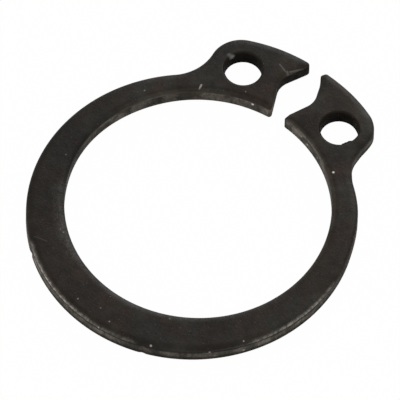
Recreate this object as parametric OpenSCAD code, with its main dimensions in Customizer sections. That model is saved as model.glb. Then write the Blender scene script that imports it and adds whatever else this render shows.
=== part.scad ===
/* [Ring] */
// Inside diameter of the ring as it lies, before it springs open onto its shaft
bore_d = 13.8; // [13.4:0.1:14.2]
// Thickness of the spring-steel sheet
thickness = 1; // [0.9:0.05:1.2]
// Width of the ring opposite the gap
back_w = 2.24; // [2:0.02:2.4]
// Width of the ring beside the gap, under the lugs
front_w = 1.02; // [0.9:0.02:1.2]
// Rounding that stamping and tumbling leave along every edge of the outline
edge_r = 0.27; // [0.15:0.01:0.3]

/* [Lugs] */
// Height of a lug above the bore, at the gap
lug_h = 3.6; // [3.4:0.05:3.8]
// Width over both lugs
lug_span = 9.78; // [9.5:0.02:10]
// Radius of the long curve over the top of both lugs
crown_r = 10.25; // [9.5:0.05:11]
// Radius of the outer corner of a lug
shoulder_r = 1.65; // [1.5:0.05:1.8]
// Radius of the hollow where a lug runs into the ring
fillet_r = 2.5; // [2.2:0.05:2.8]

/* [Gap] */
// Width of the gap at its mouth and again at the bore
gap_w = 0.84; // [0.7:0.02:1.1]
// Radius of the hollow in both gap ends
notch_r = 1.05; // [0.95:0.01:1.15]
// Height of that hollow's middle above the middle between a lug's two tips
notch_h = 0.05; // [-0.1:0.01:0.1]
// Radius of the outer tip of a lug, seen from above
tip_r = 0.3; // [0.3:0.01:0.36]
// Radius of the inner tip of a lug, seen from above
heel_r = 0.3; // [0.3:0.01:0.36]

/* [Plier holes] */
// Diameter of a plier hole
hole_d = 1.95; // [1.7:0.05:2.1]
// Distance from one plier hole to the other
hole_pitch = 6.14; // [6:0.02:6.3]
// Height of the plier holes above the bore
hole_h = 1.19; // [1.15:0.01:1.3]
// Rounding of the plier holes' edges
hole_edge_r = 0.1; // [0.05:0.01:0.15]

/* [Hidden] */
$fn = 120;
edge_fn = 32;
// Neighbouring curves cross by this much, so that they meet in a clean edge
bite = 0.004;
// Cutting shapes stand out of the sheet by this much
over = 0.5;
// A gap cut runs past the round tips by this much
past = 0.12;
// A gap cut reaches this far from its wall, past the middle of the gap
wall_reach = 1.2;
// A slice of a disc is drawn this many times as long as the disc's radius
slice_reach = 1.5;

bore_r = bore_d / 2;
outer_r = bore_r + (back_w + front_w) / 2;
outer_c = [0, (front_w - back_w) / 2];
crown_c = [0, bore_r + lug_h - crown_r];
shoulder_c = on_circle(crown_c, crown_r - shoulder_r, lug_span / 2 - shoulder_r);
fillet_c = crossing(shoulder_c, shoulder_r + fillet_r, outer_c, outer_r + fillet_r);
tip_c = on_circle(crown_c, crown_r - tip_r, gap_w / 2 + tip_r);
heel_c = on_circle([0, 0], bore_r + heel_r, gap_w / 2 + heel_r);
notch_c = [0, (tip_c.y + heel_c.y) / 2 + notch_h];
hole_c = [hole_pitch / 2, bore_r + hole_h];
// Directions in which the upper and the lower gap wall face
upper_a = wall_facing(tip_c, tip_r, -1);
lower_a = wall_facing(heel_c, heel_r, 1);
steel = [0.19, 0.18, 0.165];

function unit(a) = [cos(a), sin(a)];

function heading(v) = atan2(v.y, v.x);

// Point of a circle's upper half that lies at x
function on_circle(c, r, x) = [x, c.y + sqrt(r * r - x * x)];

// Point where circle p meets circle q, on the right-hand side
function crossing(p, p_r, q, q_r) =
    let (
        d = norm(q - p),
        u = (q - p) / d,
        t = (p_r * p_r - q_r * q_r + d * d) / (2 * d)
    )
    p + t * u + sqrt(p_r * p_r - t * t) * [-u.y, u.x];

// A gap wall touches the round tip at c on its outside and the notch from within the lug
function wall_facing(c, r, side) =
    let (d = notch_c - c)
    heading(d) + side * acos((r + notch_r) / norm(d));

module at(p) {
    translate([p.x, p.y, 0]) children();
}

module both_sides() {
    children();
    mirror([1, 0, 0]) children();
}

// Section of what rounding takes off the two edges of a wall at x = 0 that faces +x
module edge_waste(r) {
    for (m = [0, 1])
        mirror([0, m])
            translate([bite - r, thickness / 2 - r + bite])
                difference() {
                    square(r + over);
                    circle(r, $fn = edge_fn);
                }
}

// Disc of the sheet with a rounded rim
module disc(r) {
    rotate_extrude()
        difference() {
            translate([0, -thickness / 2]) square([r, thickness]);
            translate([r, 0]) edge_waste(edge_r);
        }
}

// Waste of a round hole with rounded mouths
module hole_waste(r, mouth_r) {
    rotate_extrude() {
        translate([0, -thickness / 2 - over]) square([r, thickness + 2 * over]);
        translate([r, 0]) mirror([1, 0]) edge_waste(mouth_r);
    }
}

// Waste in front of a straight gap wall that faces direction a, from its foot up to its head
module wall_waste(a, foot, head) {
    at(foot) rotate(a) rotate([90, 0, 0]) linear_extrude(norm(head - foot)) {
        translate([0, -thickness / 2 - over]) square([wall_reach, thickness + 2 * over]);
        edge_waste(edge_r);
    }
}

// Upright block that reaches past both faces of the sheet
module block(points) {
    linear_extrude(thickness + 2 * over, center = true) polygon(points);
}

// Slice of the crown's disc between the gap and the middle of the shoulder
module crown_slice() {
    intersection() {
        at(crown_c) disc(crown_r);
        block([
            crown_c,
            tip_c + (tip_r + past) * unit(upper_a),
            tip_c,
            crown_c + slice_reach * (tip_c - crown_c),
            crown_c + slice_reach * (shoulder_c - crown_c)
        ]);
    }
}

// Fills the corner between a shoulder and the ring
module web() {
    linear_extrude(thickness, center = true) polygon([shoulder_c, fillet_c, outer_c]);
}

// Waste that parts the ring under the gap, up to the lower gap walls
module slot_waste() {
    inside = (bore_r - over) * unit(heading(heel_c));
    apex = [0, heel_c.y - heel_c.x * tan(lower_a)];
    both_sides() block([[-bite, inside.y], inside, heel_c, apex, [-bite, apex.y]]);
}

// The outline before its hollows are cut: the ring, the crown and every corner that bulges
module blank() {
    difference() {
        union() {
            at(outer_c) disc(outer_r);
            both_sides() {
                crown_slice();
                web();
            }
        }
        slot_waste();
    }
    both_sides() {
        at(shoulder_c) disc(shoulder_r + bite);
        at(tip_c) disc(tip_r + bite);
        at(heel_c) disc(heel_r + bite);
    }
}

// Waste in front of both straight walls of a gap end, above and below the notch
module gap_end_waste() {
    wall_waste(
        upper_a,
        notch_c - notch_r * unit(upper_a),
        tip_c + tip_r * unit(upper_a) - past * unit(upper_a + 90)
    );
    wall_waste(
        lower_a,
        heel_c + heel_r * unit(lower_a) + past * unit(lower_a + 90),
        notch_c - notch_r * unit(lower_a)
    );
}

module retaining_ring() {
    color(steel) difference() {
        blank();
        hole_waste(bore_r, edge_r);
        at(notch_c) hole_waste(notch_r + bite, edge_r);
        both_sides() {
            gap_end_waste();
            at(fillet_c) hole_waste(fillet_r + bite, edge_r);
            at(hole_c) hole_waste(hole_d / 2, hole_edge_r);
        }
    }
}

retaining_ring();
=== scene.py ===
"""Visual model of a flat external retaining ring: stamped, tumbled and phosphated spring steel.

The ring is drawn in edit mode in millimetres, on the same kind of plan as its solid but with the
photo's wider edge rounding and its small faults, and then brought into the frame's metres.
"""

import math
from types import SimpleNamespace

import bmesh
import bpy
from mathutils import Matrix, Vector


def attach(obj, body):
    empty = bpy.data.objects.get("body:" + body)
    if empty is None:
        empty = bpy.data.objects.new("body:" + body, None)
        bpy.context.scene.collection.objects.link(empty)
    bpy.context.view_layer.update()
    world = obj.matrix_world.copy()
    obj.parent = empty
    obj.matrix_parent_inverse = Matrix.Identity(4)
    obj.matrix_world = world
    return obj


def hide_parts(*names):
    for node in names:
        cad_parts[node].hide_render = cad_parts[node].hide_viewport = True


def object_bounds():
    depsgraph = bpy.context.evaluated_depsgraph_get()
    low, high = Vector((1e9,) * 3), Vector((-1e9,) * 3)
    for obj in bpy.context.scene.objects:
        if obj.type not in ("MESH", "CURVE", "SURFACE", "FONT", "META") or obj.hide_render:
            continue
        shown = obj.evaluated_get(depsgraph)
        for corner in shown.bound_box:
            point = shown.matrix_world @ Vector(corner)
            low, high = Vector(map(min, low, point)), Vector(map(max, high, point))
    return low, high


bl_info = {
    "name": "Retaining ring",
    "version": (1, 0, 0),
    "blender": (4, 5, 0),
    "location": "3D View > Sidebar > Retaining ring",
    "description": "Builds a worn, phosphated retaining ring and its studio",
    "category": "Object",
}

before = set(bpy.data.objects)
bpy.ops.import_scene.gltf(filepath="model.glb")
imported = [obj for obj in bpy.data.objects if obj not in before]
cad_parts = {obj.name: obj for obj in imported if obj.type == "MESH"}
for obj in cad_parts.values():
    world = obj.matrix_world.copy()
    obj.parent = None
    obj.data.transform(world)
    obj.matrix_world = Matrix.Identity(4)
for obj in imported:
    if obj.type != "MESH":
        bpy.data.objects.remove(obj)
CAD_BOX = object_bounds()

MM = 0.001
FLOOR_Z = CAD_BOX[0].z
RING_NODE = "retaining_ring"


def length(name, description, millimetres):
    """A length that a user may change, kept in metres"""
    return bpy.props.FloatProperty(
        name=name, description=description, default=millimetres * MM, unit="LENGTH", precision=5
    )


def colour(name, description, rgb):
    """A colour that a user may change"""
    return bpy.props.FloatVectorProperty(
        name=name, description=description, default=rgb, size=3, min=0, max=1, subtype="COLOR"
    )


class RingSizes(bpy.types.PropertyGroup):
    bore_d: length("Bore", "Inside diameter of the ring as it lies", 13.8)
    thickness: length("Thickness", "Thickness of the sheet", 1.0)
    back_w: length("Back width", "Width of the ring opposite the gap", 2.23)
    front_w: length("Front width", "Width of the ring under the lugs", 1.02)
    roll_w: length("Edge roll width", "How far an edge's rounding reaches over the face", 0.42)
    roll_h: length("Edge roll height", "How far an edge's rounding reaches down the wall", 0.185)
    lug_h: length("Lug height", "Height of a lug above the bore, at the gap", 3.587)
    lug_span: length("Lug span", "Width over both lugs", 9.78)
    crown_r: length("Crown radius", "Radius of the curve over both lugs", 10.25)
    shoulder_r: length("Shoulder radius", "Radius of a lug's outer corner", 1.65)
    fillet_r: length("Fillet radius", "Radius of the hollow beside a lug", 2.5)
    gap_w: length("Gap", "Width of the gap at its mouth and at the bore", 0.84)
    notch_r: length("Notch radius", "Radius of the hollow in both gap ends", 1.05)
    notch_h: length("Notch height", "Height of the hollow above the middle of a gap end", 0.05)
    tip_r: length("Tip radius", "Radius of a lug's outer tip", 0.22)
    heel_r: length("Heel radius", "Radius of a lug's inner tip", 0.15)
    hole_d: length("Plier hole", "Diameter of a plier hole", 1.95)
    hole_pitch: length("Hole pitch", "Distance between the plier holes", 6.14)
    hole_shift: length("Hole shift", "How far both holes sit off the middle", 0.055)
    hole_h: length("Hole height", "Height of the plier holes above the bore", 1.19)
    hole_edge_r: length("Hole rounding", "Rounding of the plier holes' edges", 0.14)
    burr: length("Burr", "How far the burr stands into the right plier hole", 0.12)


class SteelFinish(bpy.types.PropertyGroup):
    coating: colour("Coating", "Brown-black of the phosphate coating", (0.0196, 0.0150, 0.0111))
    oil: colour("Oiled patches", "Green-grey where oil has soaked in", (0.0220, 0.0204, 0.0163))
    rust: colour("Rust tint", "Faint red-brown patches", (0.0243, 0.0154, 0.0111))
    wall: colour("Wall", "Grey-brown of the sheared walls", (0.0570, 0.0500, 0.0420))
    # Painted shade in the plier holes and the gap
    soot: colour("Soot", "Nearly black film in holes and gap", (0.0066, 0.0057, 0.0047))
    bare: colour("Bare metal", "Flecks and scratches", (0.70, 0.68, 0.65))
    # Worn coating, which also paints the highlight on the rubbed edges
    worn_and_lit: colour("Worn coating", "Rubbed edges and dust", (0.72, 0.67, 0.60))
    roughness: bpy.props.FloatProperty(
        name="Roughness", description="Roughness of the coating", default=0.42, min=0, max=1
    )


class StageSettings(bpy.types.PropertyGroup):
    azimuth: bpy.props.FloatProperty(
        name="Azimuth", description="Camera's place round the ring", default=math.radians(34.947),
        subtype="ANGLE",
    )
    elevation: bpy.props.FloatProperty(
        name="Elevation", description="Camera's height above the floor",
        default=math.radians(57.349), subtype="ANGLE",
    )
    roll: bpy.props.FloatProperty(
        name="Roll", description="Camera's turn about its line of sight",
        default=math.radians(1.433), subtype="ANGLE",
    )
    distance: length("Distance", "From the camera to what it aims at", 897.3)
    aim: bpy.props.FloatVectorProperty(
        name="Aim", description="Point on the floor that the camera looks at",
        default=(-0.4026 * MM, 0.7384 * MM, -0.5 * MM), size=3, subtype="TRANSLATION",
    )
    lens: bpy.props.FloatProperty(
        name="Lens", description="Focal length for a 36 mm sensor", default=1563.1,
        subtype="DISTANCE_CAMERA",
    )
    floor: colour("Floor", "Colour of the floor", (0.9, 0.9, 0.9))
    room: bpy.props.FloatProperty(
        name="Room light", description="Brightness of the dim room", default=0.45, min=0
    )


def lengths(group):
    """All of a group's lengths, in millimetres"""
    names = group.__annotations__
    return SimpleNamespace(**{n: getattr(group, n) / MM for n in names})


# Plan of the outline


def heading(v):
    """Direction of a vector, as an angle"""
    return math.atan2(v.y, v.x)


def unit(angle):
    """Vector of length 1 in a direction"""
    return Vector((math.cos(angle), math.sin(angle)))


def on_circle(c, r, x):
    """Point of a circle's upper half that lies at x"""
    return Vector((x, c.y + math.sqrt(r * r - x * x)))


def crossing(p, p_r, q, q_r):
    """Point where circle p meets circle q, on the right-hand side"""
    d = (q - p).length
    u = (q - p) / d
    t = (p_r**2 - q_r**2 + d**2) / (2 * d)
    return p + t * u + math.sqrt(p_r**2 - t**2) * Vector((-u.y, u.x))


def wall_facing(notch, notch_r, c, r, side):
    """Direction in which the gap wall between the notch and a round tip faces"""
    d = notch - c
    return heading(d) + side * math.acos((r + notch_r) / d.length)


def plan(s):
    """Centres and radii of the outline's arcs on the right-hand side, from the back to the bore"""
    bore_r = s.bore_d / 2
    outer_r = bore_r + (s.back_w + s.front_w) / 2
    outer = Vector((0, (s.front_w - s.back_w) / 2))
    crown = Vector((0, bore_r + s.lug_h - s.crown_r))
    shoulder = on_circle(crown, s.crown_r - s.shoulder_r, s.lug_span / 2 - s.shoulder_r)
    fillet = crossing(shoulder, s.shoulder_r + s.fillet_r, outer, outer_r + s.fillet_r)
    tip = on_circle(crown, s.crown_r - s.tip_r, s.gap_w / 2 + s.tip_r)
    heel = on_circle(Vector((0, 0)), bore_r + s.heel_r, s.gap_w / 2 + s.heel_r)
    notch = Vector((0, (tip.y + heel.y) / 2 + s.notch_h))
    upper = wall_facing(notch, s.notch_r, tip, s.tip_r, -1)
    lower = wall_facing(notch, s.notch_r, heel, s.heel_r, 1)
    start = -math.pi / 2
    turns = [
        (outer, outer_r, start, heading(fillet - outer)),
        (fillet, s.fillet_r, heading(outer - fillet), heading(shoulder - fillet)),
        (shoulder, s.shoulder_r, heading(fillet - shoulder), heading(shoulder - crown)),
        (crown, s.crown_r, heading(shoulder - crown), heading(tip - crown)),
        (tip, s.tip_r, heading(tip - crown), upper),
        (notch, s.notch_r, upper - math.pi, lower - math.pi),
        (heel, s.heel_r, lower, heading(-heel)),
        (Vector((0, 0)), bore_r, heading(heel), start),
    ]
    return turns


TIP, HEEL = 4, 6  # Places of the two tight arcs in the plan


# Modelling in edit mode, in mm

STEP = 0.075  # Longest edge along the outline
WELD = 0.004  # Vertices nearer than this are one
MIN_STEPS = 8  # Fewest edges on an arc of the outline
ROLL_STEPS = 16  # Edges across a rolled edge
MOUTH_STEPS = 8  # Edges across a plier hole's rounding
HOLE_VERTS = 120
BAND = 0.03  # Flat band beside a rounding, which keeps the faces' shading flat
CORNER_REACH = 0.8  # The tight corners lie within this of their arcs' centres
CLOSE = 0.064  # Points of a tight corner this near to each other close up as it shrinks
MANY = 100  # Only the flat faces have more corners than this
WALL_STEEP = 0.22  # Upward share of a normal, below which a face belongs to a sheared wall
HOLE_STEEP = 0.9  # The same for the wall and the mouths of a plier hole
WALL, HOLE = 1, 2  # Material slots of the walls and the plier holes; 0 is the coating


def deselect():
    """Leaves edit mode with nothing selected"""
    if bpy.context.object and bpy.context.object.mode != "OBJECT":
        bpy.ops.object.mode_set(mode="OBJECT")
    bpy.ops.object.select_all(action="DESELECT")


def select_where(ring, test, kind="verts"):
    """Selects the mesh elements that pass a test on themselves"""
    bpy.ops.mesh.select_all(action="DESELECT")
    mesh = bmesh.from_edit_mesh(ring.data)
    for item in getattr(mesh, kind):
        if test(item):
            item.select_set(True)
    mesh.select_flush_mode()
    bmesh.update_edit_mesh(ring.data)


def turn(centre, radius, first, last):
    """Spins the selected vertex round a centre, along one arc of the outline"""
    sweep = (last - first + math.pi) % (2 * math.pi) - math.pi
    steps = max(MIN_STEPS, math.ceil(abs(sweep) * radius / STEP))
    # With no window, a positive spin turns clockwise
    bpy.ops.mesh.spin(
        steps=steps, dupli=False, angle=-sweep, center=(centre.x, centre.y, 0), axis=(0, 0, 1)
    )


# Where the stamped outline is a little off its plan: place, reach and shift, mm
UNEVEN = [
    (-6.9, 0.0, 4.6, -0.078, 0.0),
    (6.7, 4.7, 2.7, 0.070, 0.048),
    (5.1, 8.15, 0.9, -0.085, -0.025),
    (5.0, 7.3, 0.8, -0.040, -0.005),
    (4.95, 6.8, 0.8, -0.045, 0.0),
    (5.2, 6.2, 0.8, 0.015, 0.012),
    (-2.5, 10.2, 3.0, 0.0, 0.030),
    (2.7, 10.1, 3.0, 0.015, 0.035),
    (0.65, 9.7, 0.7, 0.065, 0.0),
    (0.45, 10.40, 0.25, 0.045, -0.02),
    (0.44, 7.06, 0.28, 0.060, 0.005),
    (-0.45, 10.45, 0.3, 0.035, 0.0),
    (-5.44, -7.30, 0.25, 0.035, 0.035),
    (2.75, -8.65, 0.25, -0.02, 0.035),
]


def nudge(ring, at, reach, shift):
    """Moves the vertex nearest to a point, and the ones beside it the more the nearer they are"""
    mesh = bmesh.from_edit_mesh(ring.data)
    goal = Vector(at)
    nearest = min(mesh.verts, key=lambda v: (v.co - goal).length)
    bpy.ops.mesh.select_all(action="DESELECT")
    nearest.select_set(True)
    bmesh.update_edit_mesh(ring.data)
    bpy.ops.transform.translate(
        value=shift, use_proportional_edit=True, proportional_edit_falloff="SMOOTH",
        proportional_size=reach, use_proportional_connected=True,
    )


def draw_outline(turns):
    """Draws the right half of the outline from one vertex, mirrors it and closes it"""
    bpy.ops.mesh.primitive_plane_add(size=1)
    ring = bpy.context.object
    ring.name = ring.data.name = "ring"
    bpy.ops.object.mode_set(mode="EDIT")
    bpy.ops.mesh.select_mode(type="VERT")
    bpy.ops.mesh.select_all(action="SELECT")
    bpy.ops.mesh.merge(type="CENTER")
    at = turns[0][0] + turns[0][1] * unit(turns[0][2])
    bpy.ops.transform.translate(value=(at.x, at.y, 0))
    for centre, radius, first, last in turns:
        begin = centre + radius * unit(first)
        if (begin - at).length > WELD:
            step = (begin - at) / math.ceil((begin - at).length / STEP)
            while (begin - at).length > WELD:
                bpy.ops.mesh.extrude_vertices_move(
                    TRANSFORM_OT_translate={"value": (step.x, step.y, 0)}
                )
                at = at + step
        turn(centre, radius, first, last)
        at = centre + radius * unit(last)
    bpy.ops.mesh.select_all(action="SELECT")
    bpy.ops.mesh.duplicate()
    bpy.ops.transform.resize(value=(-1, 1, 1), center_override=(0, 0, 0))
    bpy.ops.mesh.select_all(action="SELECT")
    bpy.ops.mesh.remove_doubles(threshold=WELD)
    for x, y, reach, across, along in UNEVEN:
        nudge(ring, (x, y, 0), reach, (across, along, 0))
    bpy.ops.mesh.select_all(action="SELECT")
    bpy.ops.mesh.edge_face_add()
    bpy.ops.mesh.normals_make_consistent(inside=False)
    return ring


def step_in(ring, thickness, depth, corners):
    """Insets the selected face; a tip tighter than the inset closes up into one corner"""
    bpy.ops.mesh.inset(thickness=thickness, depth=depth, use_even_offset=True)
    bpy.ops.mesh.select_mode(type="VERT")
    mesh = bmesh.from_edit_mesh(ring.data)
    for v in mesh.verts:
        if v.select and all((v.co.xy - c).length > CORNER_REACH for c in corners):
            v.select_set(False)
    bmesh.update_edit_mesh(ring.data)
    bpy.ops.mesh.remove_doubles(threshold=CLOSE)
    bpy.ops.mesh.select_mode(type="FACE")
    select_where(ring, lambda f: len(f.verts) > MANY and f.verts[0].co.z > WELD, "faces")


def roll_edge(ring, width, height, corners):
    """Rolls the selected flat face's border over, from its wall to the flat, in inset steps"""
    for i in range(ROLL_STEPS):
        low, high = (math.pi / 2 * k / ROLL_STEPS for k in (i, i + 1))
        inward = width * (math.cos(low) - math.cos(high))
        step_in(ring, inward, height * (math.sin(high) - math.sin(low)), corners)
    step_in(ring, BAND, 0, corners)


def hole_place(s, side):
    """Centre of the plier hole on one side"""
    return Vector((side * s.hole_pitch / 2 + s.hole_shift, s.bore_d / 2 + s.hole_h))


def rim_r(s):
    """Radius at which a plier hole's mouth runs into the flat face"""
    return s.hole_d / 2 + s.hole_edge_r + BAND


def drill_rims(ring, s):
    """Puts the plier holes' rims into the flat face and fills the face round them"""
    top = s.thickness / 2
    bpy.ops.mesh.delete(type="ONLY_FACE")
    bpy.ops.mesh.select_all(action="DESELECT")
    for side in (-1, 1):
        bpy.ops.mesh.primitive_circle_add(
            vertices=HOLE_VERTS, radius=rim_r(s), location=(*hole_place(s, side), top)
        )
    select_where(
        ring, lambda e: (e.is_boundary or e.is_wire) and e.verts[0].co.z > top - WELD, "edges"
    )
    bpy.ops.mesh.fill(use_beauty=True)


def sink_hole(ring, s, side):
    """Carries one hole's rim round its mouth and down to the middle plane"""
    x, y = hole_place(s, side)
    top = s.thickness / 2
    radius, depth = rim_r(s), 0.0

    def on_rim(v):
        reach = math.hypot(v.co.x - x, v.co.y - y)
        return v.co.z > top - WELD and abs(reach - rim_r(s)) < WELD

    select_where(ring, on_rim)
    rings = [(rim_r(s) - BAND, 0.0)]
    for i in range(1, MOUTH_STEPS + 1):
        a = math.pi / 2 * i / MOUTH_STEPS
        inward = s.hole_edge_r * (1 - math.sin(a))
        rings.append((s.hole_d / 2 + inward, s.hole_edge_r * (1 - math.cos(a))))
    rings.append((s.hole_d / 2, top))
    for r, z in rings:
        bpy.ops.mesh.extrude_edges_move(TRANSFORM_OT_translate={"value": (0, 0, depth - z)})
        bpy.ops.transform.resize(
            value=(r / radius, r / radius, 1), center_override=(x, y, 0)
        )
        radius, depth = r, z


# The burr on the right hole's rim, and the bulge beside it: angle in degrees, reach in mm and
# share of the burr's height
BURR = [(-41, 0.10, 0.8), (-33, 0.18, 0.9), (-20, 0.20, 0.9), (22, 0.70, -0.5)]


def raise_burr(ring, s):
    """Draws the right hole's rim in, where the burr stands, and out beside it"""
    centre = hole_place(s, 1)
    for angle, reach, share in BURR:
        way = unit(math.radians(angle))
        rim = centre + s.hole_d / 2 * way
        shift = -share * s.burr * way
        nudge(ring, (*rim, s.thickness / 2 - s.hole_edge_r), reach, (*shift, 0))


def add_lower_half(ring):
    """Takes the middle plane's face away and mirrors the upper half down"""
    bpy.ops.mesh.select_mode(type="FACE")
    select_where(ring, lambda f: all(abs(v.co.z) < WELD for v in f.verts), "faces")
    bpy.ops.mesh.delete(type="FACE")
    bpy.ops.mesh.select_mode(type="VERT")
    bpy.ops.mesh.select_all(action="SELECT")
    bpy.ops.mesh.duplicate()
    bpy.ops.transform.resize(value=(1, 1, -1), center_override=(0, 0, 0))
    bpy.ops.mesh.select_all(action="SELECT")
    bpy.ops.mesh.remove_doubles(threshold=WELD)
    bpy.ops.mesh.normals_make_consistent(inside=False)


def build_ring(s):
    """Builds the upper half from its outline, and from that the whole ring"""
    turns = plan(s)
    ring = draw_outline(turns)
    wall = s.thickness / 2 - s.roll_h
    bpy.ops.mesh.select_mode(type="FACE")
    bpy.ops.mesh.select_all(action="SELECT")
    bpy.ops.mesh.extrude_region_move(TRANSFORM_OT_translate={"value": (0, 0, wall)})
    bpy.ops.mesh.select_all(action="SELECT")
    bpy.ops.mesh.normals_make_consistent(inside=False)
    select_where(ring, lambda f: all(v.co.z > wall - WELD for v in f.verts), "faces")
    corners = [Vector((m * c.x, c.y)) for c, *_ in (turns[TIP], turns[HEEL]) for m in (-1, 1)]
    roll_edge(ring, s.roll_w, s.roll_h, corners)
    bpy.ops.mesh.select_mode(type="VERT")
    drill_rims(ring, s)
    for side in (-1, 1):
        sink_hole(ring, s, side)
    raise_burr(ring, s)
    add_lower_half(ring)
    return ring


def in_hole(s, at, normal):
    """Whether a face lies on a plier hole's wall or its mouths"""
    centre = hole_place(s, math.copysign(1, at.x))
    return (at.xy - centre).length < s.hole_d / 2 + s.hole_edge_r and abs(normal.z) < HOLE_STEEP


def paint(ring, slot, test):
    """Gives the faces that pass a test another of the ring's materials"""
    bpy.ops.mesh.select_mode(type="FACE")
    select_where(ring, test, "faces")
    ring.active_material_index = slot
    bpy.ops.object.material_slot_assign()


class RING_OT_ring(bpy.types.Operator):
    """Models the ring: outline, rounded edges, plier holes and burr"""

    bl_idname = "ring.make_ring"
    bl_label = "Retaining ring"

    def execute(self, context):
        deselect()
        s = lengths(context.scene.ring_sizes)
        ring = build_ring(s)
        finish = context.scene.steel_finish
        for material in (phosphate(finish), sheared_wall(finish), painted_shade_hole(finish)):
            ring.data.materials.append(material)
        paint(ring, WALL, lambda f: abs(f.normal.z) < WALL_STEEP)
        paint(ring, HOLE, lambda f: in_hole(s, f.calc_center_median(), f.normal))
        bpy.ops.object.mode_set(mode="OBJECT")
        ring.scale = (MM, MM, MM)
        bpy.ops.object.transform_apply(location=True, rotation=True, scale=True)
        bpy.ops.object.shade_smooth()
        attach(ring, "root")
        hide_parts(RING_NODE)
        return {"FINISHED"}


# Finish
# Places, heights and reaches are in mm. Tilt is the share of a normal that points up or down, so
# it is 0 on a wall and 1 on a face. A shade of 1 leaves a place as it is. A span's first value is
# where something begins, and its second where it is full.

TOP = 0.5  # Height of the upper face
# Directions across the sheet towards the front and the right-hand side of the photo
FRONT = (0.57, -0.82, 0.0)
RIGHT = (0.82, 0.57, 0.0)
# The spans of a noise's values over which a finish changes
MIDDLE_NOISE = (0.35, 0.65)
MOST_NOISE = (0.3, 0.7)
NOISE_MEAN = 0.5

# Oiled patches of the coating
OIL = SimpleNamespace(scale=0.32, roughness=0.55, span=(0.45, 0.60))
# Rust tint, and its share on the faces and on the bore's rounded edge
RUST = SimpleNamespace(scale=0.9, detail=4, span=(0.50, 0.64), shares=(0.9, 0.2))
# Small dark pits: cells per mm, reach in widths of a cell, and the cells that have one
PITS = SimpleNamespace(cells=5.0, reach=(0.30, 0.10), choice=(0.6, 0.8), shade=0.55)
# Painted shade and reflection: a dark line in which the upper edge's rounding meets the outer
# wall, darkest at the front
SHADE_LINE = SimpleNamespace(
    foot=(0.12, 0.28), head=(0.75, 0.45), height=(-0.1, 0.1), front=(6.8, 8.4),
    shades=(0.62, 0.40),
)
# The ring's outer side starts this far from the bore's centre
OUTER_SIDE = (7.4, 7.9)
# Rounded edge of the bore, with painted sheen and shade: its shades on the left and elsewhere
BORE_EDGE = SimpleNamespace(tilt=(0.999, 0.93), right=(-6.5, -3.0), shades=(0.80, 1.65))
# Painted shade on the rounded edges on the right
RIGHT_EDGE = SimpleNamespace(tilt=(0.99, 0.85), right=(6.3, 8.2), shade=0.80)
# Rubbed edges, partly wear and partly a painted highlight: the tilt where rubbing begins falls
# from the left to the right
RUBBING_AND_HIGHLIGHT = SimpleNamespace(
    right=(2.0, 6.0), begins=(0.992, 0.96), full=0.80, foot=(0.15, 0.4), scale=5.0,
    shares=(0.07, 0.24), metallic=1.5,
)
# Lighter speckles along a stretch of the bore's edge
SPECKLING = SimpleNamespace(scale=7.0, detail=3, roughness=0.7, shares=(0.004, 0.075))
# Lighter band above the middle of the walls, which reaches further in the bore: partly the
# burnished part of the shear and partly painted light
LIGHT_BAND = SimpleNamespace(
    foot=(-0.25, 0.05), head=(0.30, 0.18), bore=(7.4, 7.2), bore_foot=0.75, bore_head=0.9,
    shades=(0.60, 1.95),
)
# Painted shade in the gap, by how far a place lies up the gap and how near to its middle
GAP_SHADE = SimpleNamespace(along=(7.2, 7.9), across=(2.0, 1.5))
# Oiled patches and rust on the walls
WALL_OIL = SimpleNamespace(scale=1.2, span=(0.4, 0.6))
WALL_RUST = SimpleNamespace(scale=2.6, span=(0.5, 0.65), most=0.4)
# Squeeze of the height that draws the walls' mottling and relief out into upright streaks
STREAK = 0.35
# Where a plier hole's painted shade gives way to the coating: its rims, and worn places in it
HOLE_WEAR_AND_LIGHT = SimpleNamespace(tilt=(0.2, 0.75), scale=3.0, span=(0.5, 0.8))

# Surfaces: how far the coating's roughness strays, the others' roughness, gloss, and relief in mm
COAT_SPREAD = 0.08
ROUGH_SCALE = 3.0
WALL_ROUGHNESS = (0.75, 0.9)
HOLE_ROUGHNESS = (0.7, 0.9)
COAT_GLOSS = 0.15
WALL_GLOSS = 0.1
HOLE_GLOSS = 0.04
COAT_RELIEF = 0.014
WALL_RELIEF = 0.02
# Scales of the fine and the coarse relief, and the coarse one's share on the coating
FINE_COAT = 9.0
FINE_WALL = 8.0
COARSE = 2.5
COARSE_SHARE = 0.8

# Part of a mark's radius that has its full strength
SEGMENT_CORE = 0.2
FLECK_CORE = 0.35
DUST_CORE = 0.3
DUST_FULL = 0.4  # Share of the chosen cells whose specks are brightest
# Scale of the wandering of the patches' borders, and how far it goes
SWIRL = 0.9
WANDER = 0.4

# Mottling: scale per mm, darkest and lightest
COAT_GRAIN = [
    (9.0, 0.95, 1.05), (4.5, 0.92, 1.08), (2.0, 0.80, 1.20), (0.8, 0.78, 1.22),
    (0.33, 0.84, 1.16),
]
WALL_GRAIN = [(8.0, 0.75, 1.25), (3.5, 0.82, 1.18)]

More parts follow.
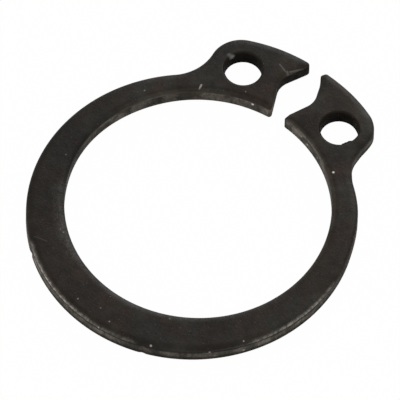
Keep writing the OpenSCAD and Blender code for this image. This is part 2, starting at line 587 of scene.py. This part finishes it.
# Bright chips in the coating: place, radius and strength
FLECKS = [
    (4.49, 5.70, 0.50, 0.085, 1.00), (-1.43, 6.76, 0.20, 0.100, 0.85),
    (3.16, -8.44, 0.45, 0.090, 0.50), (2.24, 6.53, 0.03, 0.080, 0.50),
    (6.83, -5.38, 0.49, 0.070, 0.35), (0.32, -9.10, 0.36, 0.070, 0.30),
    (0.60, -8.55, 0.50, 0.065, 0.28), (-1.52, -8.40, 0.50, 0.065, 0.24),
    (6.96, -5.54, -0.07, 0.100, 0.25), (5.76, -6.88, 0.31, 0.070, 0.28),
    (1.74, 6.68, 0.17, 0.080, 0.25), (3.16, 6.13, 0.13, 0.090, 0.22),
    (2.98, -6.56, 0.50, 0.060, 0.22), (-6.32, 3.94, 0.50, 0.060, 0.22),
    (-4.52, -5.57, 0.50, 0.070, 0.20), (-7.24, -1.67, 0.50, 0.055, 0.18),
    (-0.25, -8.15, 0.50, 0.060, 0.18), (-2.07, 7.01, 0.50, 0.055, 0.18),
]

# Scratches, rubbed stretches with their painted highlight, and lighter speckled ones: both ends,
# half width and strength
SCRATCHES = [
    ((-1.64, 9.43, 0.5), (-1.16, 9.25, 0.5), 0.065, 0.10),
    ((-1.06, 9.28, 0.5), (-0.93, 9.20, 0.45), 0.12, 0.12),
    ((-0.95, 9.40, 0.45), (-0.52, 9.96, 0.42), 0.08, 0.11),
    ((-5.58, -6.68, 0.5), (-4.90, -6.52, 0.5), 0.05, 0.035),
    ((-4.10, 8.34, 0.37), (-3.94, 8.40, 0.34), 0.21, 0.26),
    ((-4.10, 5.70, 0.5), (-4.16, 5.98, 0.5), 0.07, 0.45),
]
RUBBED_AND_LIT = [
    ((-5.1, -7.3, 0.4), (-3.0, -8.6, 0.4), 0.8, 1.0),
    ((-3.0, -8.6, 0.4), (-0.6, -9.1, 0.4), 0.8, 1.0),
    ((-0.6, -9.1, 0.4), (2.0, -8.9, 0.4), 0.6, 0.5),
    ((7.2, -4.7, 0.4), (8.0, -3.2, 0.4), 0.7, 0.7),
    ((8.0, -3.2, 0.4), (8.4, -1.2, 0.4), 0.8, 1.3),
    ((8.4, -1.2, 0.4), (8.5, -0.2, 0.4), 0.7, 0.8),
    ((1.1, 6.8, 0.3), (3.5, 5.9, 0.3), 0.7, 0.3),
]
SPECKLED = [
    ((-6.1, -3.4, 0.5), (-5.2, -4.8, 0.5), 0.7, 0.55),
    ((-5.2, -4.8, 0.5), (-3.4, -6.2, 0.5), 0.7, 0.7),
]

# Scattered specks: cells per mm, radius, share of cells with a speck, strength
DUST = [(1.5, 0.05, 0.6, 0.15), (3.0, 0.045, 0.40, 0.07), (5.5, 0.04, 0.30, 0.05)]

# Patches of the coating, partly thicker and thinner coating and partly painted sheen and shade,
# and patches of painted light and shade on the walls: place, reach and shade
PATCHES = [
    (-8.2, -0.6, 3.0, 0.55), (2.6, 9.4, 2.6, 1.60), (3.2, -7.9, 2.2, 0.65),
    (-7.0, 2.8, 1.4, 1.40), (8.0, 0.5, 3.0, 1.35), (5.8, 5.0, 3.4, 1.35),
    (-4.2, 8.6, 2.6, 0.75), (-4.5, -5.6, 1.0, 1.30), (-2.3, -6.8, 1.1, 1.60),
    (0.0, -7.2, 1.4, 1.45), (-7.2, -4.5, 3.0, 0.80), (-0.9, 9.7, 1.4, 1.70),
    (-2.1, 8.7, 1.0, 0.70), (-6.8, -1.5, 1.8, 0.70), (-2.9, 6.9, 0.9, 0.75),
]
WALL_PATCHES = [
    (-5.5, -6.9, 3.5, 1.50), (-1.2, -9.0, 3.0, 1.15), (3.6, -8.4, 3.6, 0.62),
    (8.3, 1.5, 4.2, 0.50), (-5.4, 4.4, 3.2, 0.50), (-2.4, 6.5, 1.6, 0.85),
    (1.5, 6.8, 1.8, 1.15), (4.8, 8.0, 2.0, 0.70), (-6.8, -0.8, 3.0, 0.55),
]


class Nodes:
    """Adds and joins the shader nodes of one material"""

    def __init__(self, material):
        material.use_nodes = True
        self.tree = material.node_tree
        self.tree.nodes.clear()

    def add(self, kind, inputs=None, **settings):
        node = self.tree.nodes.new(kind)
        for key, value in settings.items():
            setattr(node, key, value)
        for key, value in (inputs or {}).items():
            socket = node.inputs[key]
            if isinstance(value, bpy.types.NodeSocket):
                self.tree.links.new(value, socket)
            else:
                socket.default_value = value
        return node.outputs

    def noise(self, place, scale, detail=3, roughness=0.6):
        return self.add(
            "ShaderNodeTexNoise",
            {"Vector": place, "Scale": scale, "Detail": detail, "Roughness": roughness},
        )[0]

    def ramp(self, value, low, high, to_low=0.0, to_high=1.0, smooth=True):
        return self.add(
            "ShaderNodeMapRange",
            {
                "Value": value, "From Min": low, "From Max": high,
                "To Min": to_low, "To Max": to_high,
            },
            interpolation_type="SMOOTHSTEP" if smooth else "LINEAR",
        )[0]

    def between(self, share, start, end):
        """Start where a share is 0, end where it is 1, and a soft passage from one to the other"""
        return self.ramp(share, 0.0, 1.0, start, end)

    def math(self, operation, a, b=0.0):
        return self.add("ShaderNodeMath", {0: a, 1: b}, operation=operation)[0]

    def times(self, product, *factors):
        for factor in factors:
            product = self.math("MULTIPLY", product, factor)
        return product

    def inverse(self, share):
        return self.math("SUBTRACT", 1.0, share)

    def scalar(self, operation, a, b=(0.0, 0.0, 0.0)):
        """Distance, dot product or length of vectors"""
        return self.add("ShaderNodeVectorMath", {0: a, 1: b}, operation=operation)["Value"]

    def vector(self, operation, a, b):
        key = "Scale" if operation == "SCALE" else 1
        return self.add("ShaderNodeVectorMath", {0: a, key: b}, operation=operation)[0]

    def mix(self, factor, a, b):
        node = self.tree.nodes.new("ShaderNodeMix")
        node.data_type = "RGBA"
        for key, value in ((0, factor), (6, a), (7, b)):
            if isinstance(value, bpy.types.NodeSocket):
                self.tree.links.new(value, node.inputs[key])
            else:
                node.inputs[key].default_value = value if key == 0 else (*value, 1)
        return node.outputs[2]


def near_segment(n, place, first, last, reach):
    """1 on the line between two points, falling to 0 at its reach"""
    first, last = Vector(first), Vector(last)
    along = last - first
    offset = n.vector("SUBTRACT", place, first)
    share = n.scalar("DOT_PRODUCT", offset, along / along.length_squared)
    share = n.add("ShaderNodeMath", {0: share, 1: 0.0}, operation="ADD", use_clamp=True)[0]
    foot = n.vector("SCALE", tuple(along), share)
    return n.ramp(n.scalar("DISTANCE", offset, foot), reach, SEGMENT_CORE * reach)


def stretches(n, place, segments, marks=0.0):
    """Strength of the strongest segment at a place, or of the marks that are already there"""
    for first, last, reach, strength in segments:
        stretch = n.times(near_segment(n, place, first, last, reach), strength)
        marks = n.math("MAXIMUM", stretch, marks)
    return marks


def object_place(n):
    """Object coordinates in millimetres, and the share of the normal that points up or down"""
    coords = n.add("ShaderNodeTexCoord")
    place = n.add("ShaderNodeMapping", {"Vector": coords["Object"], "Scale": (1 / MM,) * 3})[0]
    tilt = n.math("ABSOLUTE", n.add("ShaderNodeSeparateXYZ", {0: coords["Normal"]})[2])
    return place, tilt


def towards(n, place, side):
    """How far a place lies towards one side, in mm"""
    return n.scalar("DOT_PRODUCT", place, side)


def chips(n, place, tone, bare):
    """Bright flecks where the coating has chipped, the large ones each in its own place"""
    marks = 0.0
    for x, y, z, radius, strength in FLECKS:
        gap = n.scalar("DISTANCE", place, (x, y, z))
        mark = n.ramp(gap, radius, FLECK_CORE * radius, 0.0, strength)
        marks = n.math("MAXIMUM", mark, marks)
    marks = stretches(n, place, SCRATCHES, marks)
    for scale, radius, share, strength in DUST:
        cells = n.add("ShaderNodeTexVoronoi", {"Vector": place, "Scale": scale})
        pick = n.add("ShaderNodeSeparateColor", {0: cells["Color"]})[0]
        dot = n.ramp(cells["Distance"], radius * scale, DUST_CORE * radius * scale)
        chosen = n.ramp(pick, 1 - share, 1 - DUST_FULL * share, 0.0, strength)
        marks = n.math("MAXIMUM", n.times(dot, chosen), marks)
    return n.mix(marks, tone, bare)


def mottle(n, place, layers):
    """Product of noise layers, each (scale per mm, darkest, lightest)"""
    factors = [
        n.ramp(n.noise(place, scale, 2, 0.5), *MOST_NOISE, low, high, smooth=False)
        for scale, low, high in layers
    ]
    return n.times(*factors)


def shades(n, place, patches, z):
    """Product of soft patches with slightly wandering borders"""
    swirl = n.add("ShaderNodeTexNoise", {"Vector": place, "Scale": SWIRL, "Detail": 3})["Color"]
    swirl = n.vector("SCALE", n.vector("SUBTRACT", swirl, (NOISE_MEAN,) * 3), WANDER)
    loose = n.vector("ADD", place, swirl)
    factor = 1.0
    for x, y, reach, shade in patches:
        gap = n.scalar("DISTANCE", loose, (x, y, z))
        factor = n.times(n.ramp(gap, reach, 0.0, 1.0, shade), factor)
    return factor


def pits(n, place):
    """Shade of the small dark pits in some cells of the coating"""
    cells = n.add("ShaderNodeTexVoronoi", {"Vector": place, "Scale": PITS.cells})
    pick = n.add("ShaderNodeSeparateColor", {0: cells["Color"]})[0]
    pit = n.times(n.ramp(cells["Distance"], *PITS.reach), n.ramp(pick, *PITS.choice))
    return n.between(pit, 1.0, PITS.shade)


def shade_line(n, place, tilt, outside):
    """Shade of the painted dark line beside the outer wall, a painted shade and reflection that is
    darkest at the front
    """
    upper = n.ramp(n.add("ShaderNodeSeparateXYZ", {0: place})[2], *SHADE_LINE.height)
    line = n.times(n.ramp(tilt, *SHADE_LINE.foot), n.ramp(tilt, *SHADE_LINE.head))
    line = n.times(line, n.times(outside, upper))
    shade = n.ramp(towards(n, place, FRONT), *SHADE_LINE.front, *SHADE_LINE.shades)
    return n.math("ADD", n.times(line, shade), n.inverse(line))


def coat_tone(n, place, bore, finish):
    """Colour of the coating, with its oiled patches and its rust tint"""
    oiled = n.ramp(n.noise(place, OIL.scale, roughness=OIL.roughness), *OIL.span)
    tone = n.mix(oiled, finish.coating, finish.oil)
    rusty = n.ramp(n.noise(place, RUST.scale, RUST.detail), *RUST.span)
    rusty = n.times(rusty, n.between(bore, *RUST.shares))
    return n.mix(rusty, tone, finish.rust)


def coat_grain_and_shade(n, place, tilt, bore, outside):
    """How light the coating is at a place, with its painted sheen and shade"""
    grain_and_shade = n.times(mottle(n, place, COAT_GRAIN), shades(n, place, PATCHES, TOP))
    grain_and_shade = n.times(grain_and_shade, pits(n, place), shade_line(n, place, tilt, outside))
    right = towards(n, place, RIGHT)
    # Painted sheen on the bore's rounded edge, and painted shade on its left
    lit = n.ramp(right, *BORE_EDGE.right, *BORE_EDGE.shades)
    grain_and_shade = n.times(grain_and_shade, n.between(bore, 1.0, lit))
    # Painted shade on the rounded edges on the right
    edge = n.times(n.ramp(right, *RIGHT_EDGE.right), n.ramp(tilt, *RIGHT_EDGE.tilt))
    return n.times(grain_and_shade, n.between(edge, 1.0, RIGHT_EDGE.shade))


def rubbing_and_highlight(n, place, tilt):
    """How far the coating is rubbed off along the rounded edges, which also paints a highlight
    there
    """
    begins = n.ramp(towards(n, place, RIGHT), *RUBBING_AND_HIGHLIGHT.right, *RUBBING_AND_HIGHLIGHT.begins)
    edge = n.times(n.ramp(tilt, begins, RUBBING_AND_HIGHLIGHT.full), n.ramp(tilt, *RUBBING_AND_HIGHLIGHT.foot))
    uneven = n.ramp(n.noise(place, RUBBING_AND_HIGHLIGHT.scale), *MIDDLE_NOISE, *RUBBING_AND_HIGHLIGHT.shares)
    return n.times(stretches(n, place, RUBBED_AND_LIT), edge, uneven)


def speckling(n, place):
    """How far lighter speckles cover the coating"""
    noise = n.noise(place, SPECKLING.scale, SPECKLING.detail, SPECKLING.roughness)
    return n.times(stretches(n, place, SPECKLED), n.ramp(noise, *MIDDLE_NOISE, *SPECKLING.shares))


def close_off(n, tone, roughness, gloss, relief, height, metallic=0.0):
    """Joins up a material's surface; the relief's height is in mm"""
    bump = n.add("ShaderNodeBump", {"Height": relief, "Strength": 1.0, "Distance": height * MM})
    surface = n.add(
        "ShaderNodeBsdfPrincipled",
        {
            "Base Color": tone, "Roughness": roughness, "Metallic": metallic,
            "Specular IOR Level": gloss, "Normal": bump[0],
        },
    )
    n.add("ShaderNodeOutputMaterial", {0: surface[0]})


def phosphate(finish):
    """Black phosphate on spring steel: mottled, oiled, chipped and rubbed at its edges, with
    painted highlights, sheen and shade
    """
    steel = bpy.data.materials.new("phosphated steel")
    n = Nodes(steel)
    place, tilt = object_place(n)
    outside = n.ramp(n.scalar("LENGTH", place), *OUTER_SIDE)
    bore = n.times(n.ramp(tilt, *BORE_EDGE.tilt), n.inverse(outside))
    tone = coat_tone(n, place, bore, finish)
    tone = n.vector("SCALE", tone, coat_grain_and_shade(n, place, tilt, bore, outside))
    rubbed_and_lit = rubbing_and_highlight(n, place, tilt)
    tone = n.mix(rubbed_and_lit, tone, finish.worn_and_lit)
    tone = n.mix(speckling(n, place), tone, finish.worn_and_lit)
    tone = chips(n, place, tone, finish.bare)
    low, high = finish.roughness - COAT_SPREAD, finish.roughness + COAT_SPREAD
    rough = n.ramp(n.noise(place, ROUGH_SCALE), *MOST_NOISE, low, high)
    coarse = n.times(n.noise(place, COARSE, 2), COARSE_SHARE)
    relief = n.math("ADD", n.noise(place, FINE_COAT), coarse)
    metallic = n.times(rubbed_and_lit, RUBBING_AND_HIGHLIGHT.metallic)
    close_off(n, tone, rough, COAT_GLOSS, relief, COAT_RELIEF, metallic)
    return steel


def wall_band(n, place):
    """Shade across the sheet's walls, with their lighter band, partly burnished steel and partly
    painted light
    """
    height = n.add("ShaderNodeSeparateXYZ", {0: place})[2]
    reach = n.scalar("LENGTH", place)
    b = LIGHT_BAND
    foot = n.math("MAXIMUM", n.ramp(height, *b.foot), n.ramp(reach, *b.bore, 0.0, b.bore_foot))
    head = n.math("MAXIMUM", n.ramp(height, *b.head), n.ramp(reach, *b.bore, 0.0, b.bore_head))
    return n.between(n.times(foot, head), *b.shades)


def sheared_wall(finish):
    """Matter wall that the punch sheared, with upright streaks, painted light and shade, and
    painted shade in the gap
    """
    wall = bpy.data.materials.new("sheared wall")
    n = Nodes(wall)
    place, _ = object_place(n)
    streaks = n.add("ShaderNodeMapping", {"Vector": place, "Scale": (1, 1, STREAK)})[0]
    oiled = n.ramp(n.noise(place, WALL_OIL.scale), *WALL_OIL.span)
    rusty = n.ramp(n.noise(place, WALL_RUST.scale), *WALL_RUST.span, 0.0, WALL_RUST.most)
    tone = n.mix(rusty, n.mix(oiled, finish.wall, finish.oil), finish.rust)
    grain_and_shade = n.times(mottle(n, streaks, WALL_GRAIN), wall_band(n, place))
    # Painted light and shade on the walls
    grain_and_shade = n.times(grain_and_shade, shades(n, place, WALL_PATCHES, 0.0))
    across, along, _ = n.add("ShaderNodeSeparateXYZ", {0: place})
    across = n.math("ABSOLUTE", across)
    # Painted shade in the gap
    soot = n.times(n.ramp(along, *GAP_SHADE.along), n.ramp(across, *GAP_SHADE.across))
    tone = n.mix(soot, n.vector("SCALE", tone, grain_and_shade), finish.soot)
    tone = chips(n, place, tone, finish.bare)
    rough = n.ramp(n.noise(place, ROUGH_SCALE), *MOST_NOISE, *WALL_ROUGHNESS)
    relief = n.math("ADD", n.noise(streaks, FINE_WALL), n.noise(place, COARSE, 2))
    close_off(n, tone, rough, WALL_GLOSS, relief, WALL_RELIEF)
    return wall


def painted_shade_hole(finish):
    """Nearly black wall of a plier hole: painted shade, which gives way to the coating on its rims
    and in worn places
    """
    hole = bpy.data.materials.new("sooty hole")
    n = Nodes(hole)
    place, tilt = object_place(n)
    patchy = n.ramp(n.noise(place, HOLE_WEAR_AND_LIGHT.scale), *HOLE_WEAR_AND_LIGHT.span)
    worn_and_lit = n.math("MAXIMUM", n.ramp(tilt, *HOLE_WEAR_AND_LIGHT.tilt), patchy)
    tone = n.mix(worn_and_lit, finish.soot, finish.coating)
    tone = chips(n, place, tone, finish.bare)
    rough = n.ramp(n.noise(place, ROUGH_SCALE), *MOST_NOISE, *HOLE_ROUGHNESS)
    close_off(n, tone, rough, HOLE_GLOSS, n.noise(place, FINE_WALL), WALL_RELIEF)
    return hole


# Studio

SENSOR_WIDTH = 36.0
FLOOR_SIZE = 3.0
FLOOR_CUTS = 3
FLOOR_GLOW = 0.985  # How white the floor is to the camera and to glossy metal, where 1 is full


def direction(azimuth, elevation):
    """Unit vector towards a place round the ring; azimuth 0 is the front, 90 degrees the right"""
    return Vector((
        math.sin(azimuth) * math.cos(elevation),
        -math.cos(azimuth) * math.cos(elevation),
        math.sin(elevation),
    ))


def floor_material(rgb):
    """Pale floor that the camera and glossy metal see as white, and that keeps the shadow"""
    material = bpy.data.materials.new("pale floor")
    n = Nodes(material)
    path = n.add("ShaderNodeLightPath")
    seen = n.math("MAXIMUM", path["Is Camera Ray"], path["Is Glossy Ray"])
    seen = n.math("MAXIMUM", seen, path["Is Transmission Ray"])
    matte = n.add("ShaderNodeBsdfDiffuse", {"Color": (*rgb, 1)})[0]
    glow = n.add("ShaderNodeEmission", {"Color": (1, 1, 1, 1), "Strength": 1.0})[0]
    share = n.times(seen, FLOOR_GLOW)
    mixed = n.add("ShaderNodeMixShader", {0: share, 1: matte, 2: glow})[0]
    n.add("ShaderNodeOutputMaterial", {0: mixed})
    return material


# Softboxes: name, azimuth from the camera's and elevation in degrees, distance and size in
# metres, brightness
LAMPS = [
    ("left softbox", -84, 6, 0.7, 0.33, 12.0),
    ("right softbox", 32, 10, 0.7, 0.25, 12.5),
    ("back softbox", 160, 30, 0.9, 0.70, 3.0),
]


def lay_floor(stage):
    bpy.ops.mesh.primitive_plane_add(size=FLOOR_SIZE)
    floor = bpy.context.object
    floor.name = "floor"
    bpy.ops.object.mode_set(mode="EDIT")
    bpy.ops.transform.translate(value=(0, 0, FLOOR_Z))
    bpy.ops.mesh.subdivide(number_cuts=FLOOR_CUTS)
    bpy.ops.object.mode_set(mode="OBJECT")
    floor.data.materials.append(floor_material(stage.floor))


def hang_lamps(stage):
    for name, swing, height, far, size, brightness in LAMPS:
        way = direction(stage.azimuth + math.radians(swing), math.radians(height))
        bpy.ops.object.light_add(type="AREA", location=way * far)
        lamp = bpy.context.object
        lamp.name = name
        lamp.rotation_euler = way.to_track_quat("Z", "Y").to_euler()
        lamp.data.shape = "DISK"
        lamp.data.size = size
        # A disc's power is pi times its brightness times its area
        lamp.data.energy = brightness * math.pi * math.pi * (size / 2) ** 2


def light_room(scene, stage):
    world = bpy.data.worlds.new("room")
    scene.world = world
    world.use_nodes = True
    background = world.node_tree.nodes["Background"].inputs
    background["Color"].default_value = (1, 1, 1, 1)
    background["Strength"].default_value = stage.room


def place_camera(scene, stage):
    back = direction(stage.azimuth, stage.elevation)
    right = Vector((math.cos(stage.azimuth), math.sin(stage.azimuth), 0))
    up = back.cross(right)
    c, s = math.cos(stage.roll), math.sin(stage.roll)
    axes = Matrix((c * right + s * up, -s * right + c * up, back)).transposed()
    bpy.ops.object.camera_add(location=Vector(stage.aim) + back * stage.distance)
    camera = bpy.context.object
    camera.name = "camera"
    camera.rotation_euler = axes.to_euler()
    camera.data.sensor_width = SENSOR_WIDTH
    camera.data.lens = stage.lens
    scene.camera = camera


class RING_OT_stage(bpy.types.Operator):
    """Sets the pale floor, the softboxes, the room light and the camera"""

    bl_idname = "ring.make_stage"
    bl_label = "Studio"

    def execute(self, context):
        deselect()
        scene = context.scene
        stage = scene.stage_settings
        lay_floor(stage)
        hang_lamps(stage)
        light_room(scene, stage)
        place_camera(scene, stage)
        scene.view_settings.view_transform = "Standard"
        return {"FINISHED"}


class RING_PT_panel(bpy.types.Panel):
    """Sizes, finish and studio of the retaining ring"""

    bl_idname = "RING_PT_panel"
    bl_label = "Retaining ring"
    bl_space_type = "VIEW_3D"
    bl_region_type = "UI"
    bl_category = "Retaining ring"

    def draw(self, context):
        scene = context.scene
        for operator, group in (
            ("ring.make_ring", scene.ring_sizes),
            ("ring.make_ring", scene.steel_finish),
            ("ring.make_stage", scene.stage_settings),
        ):
            box = self.layout.box()
            for name in group.__annotations__:
                box.prop(group, name)
            box.operator(operator)


GROUPS = {"ring_sizes": RingSizes, "steel_finish": SteelFinish, "stage_settings": StageSettings}
CLASSES = [*GROUPS.values(), RING_OT_ring, RING_OT_stage, RING_PT_panel]


def register():
    for cls in CLASSES:
        bpy.utils.register_class(cls)
    for name, group in GROUPS.items():
        setattr(bpy.types.Scene, name, bpy.props.PointerProperty(type=group))


def unregister():
    for name in GROUPS:
        delattr(bpy.types.Scene, name)
    for cls in reversed(CLASSES):
        bpy.utils.unregister_class(cls)


def main():
    register()
    bpy.ops.ring.make_stage()
    bpy.ops.ring.make_ring()


if __name__ == "__main__":
    main()
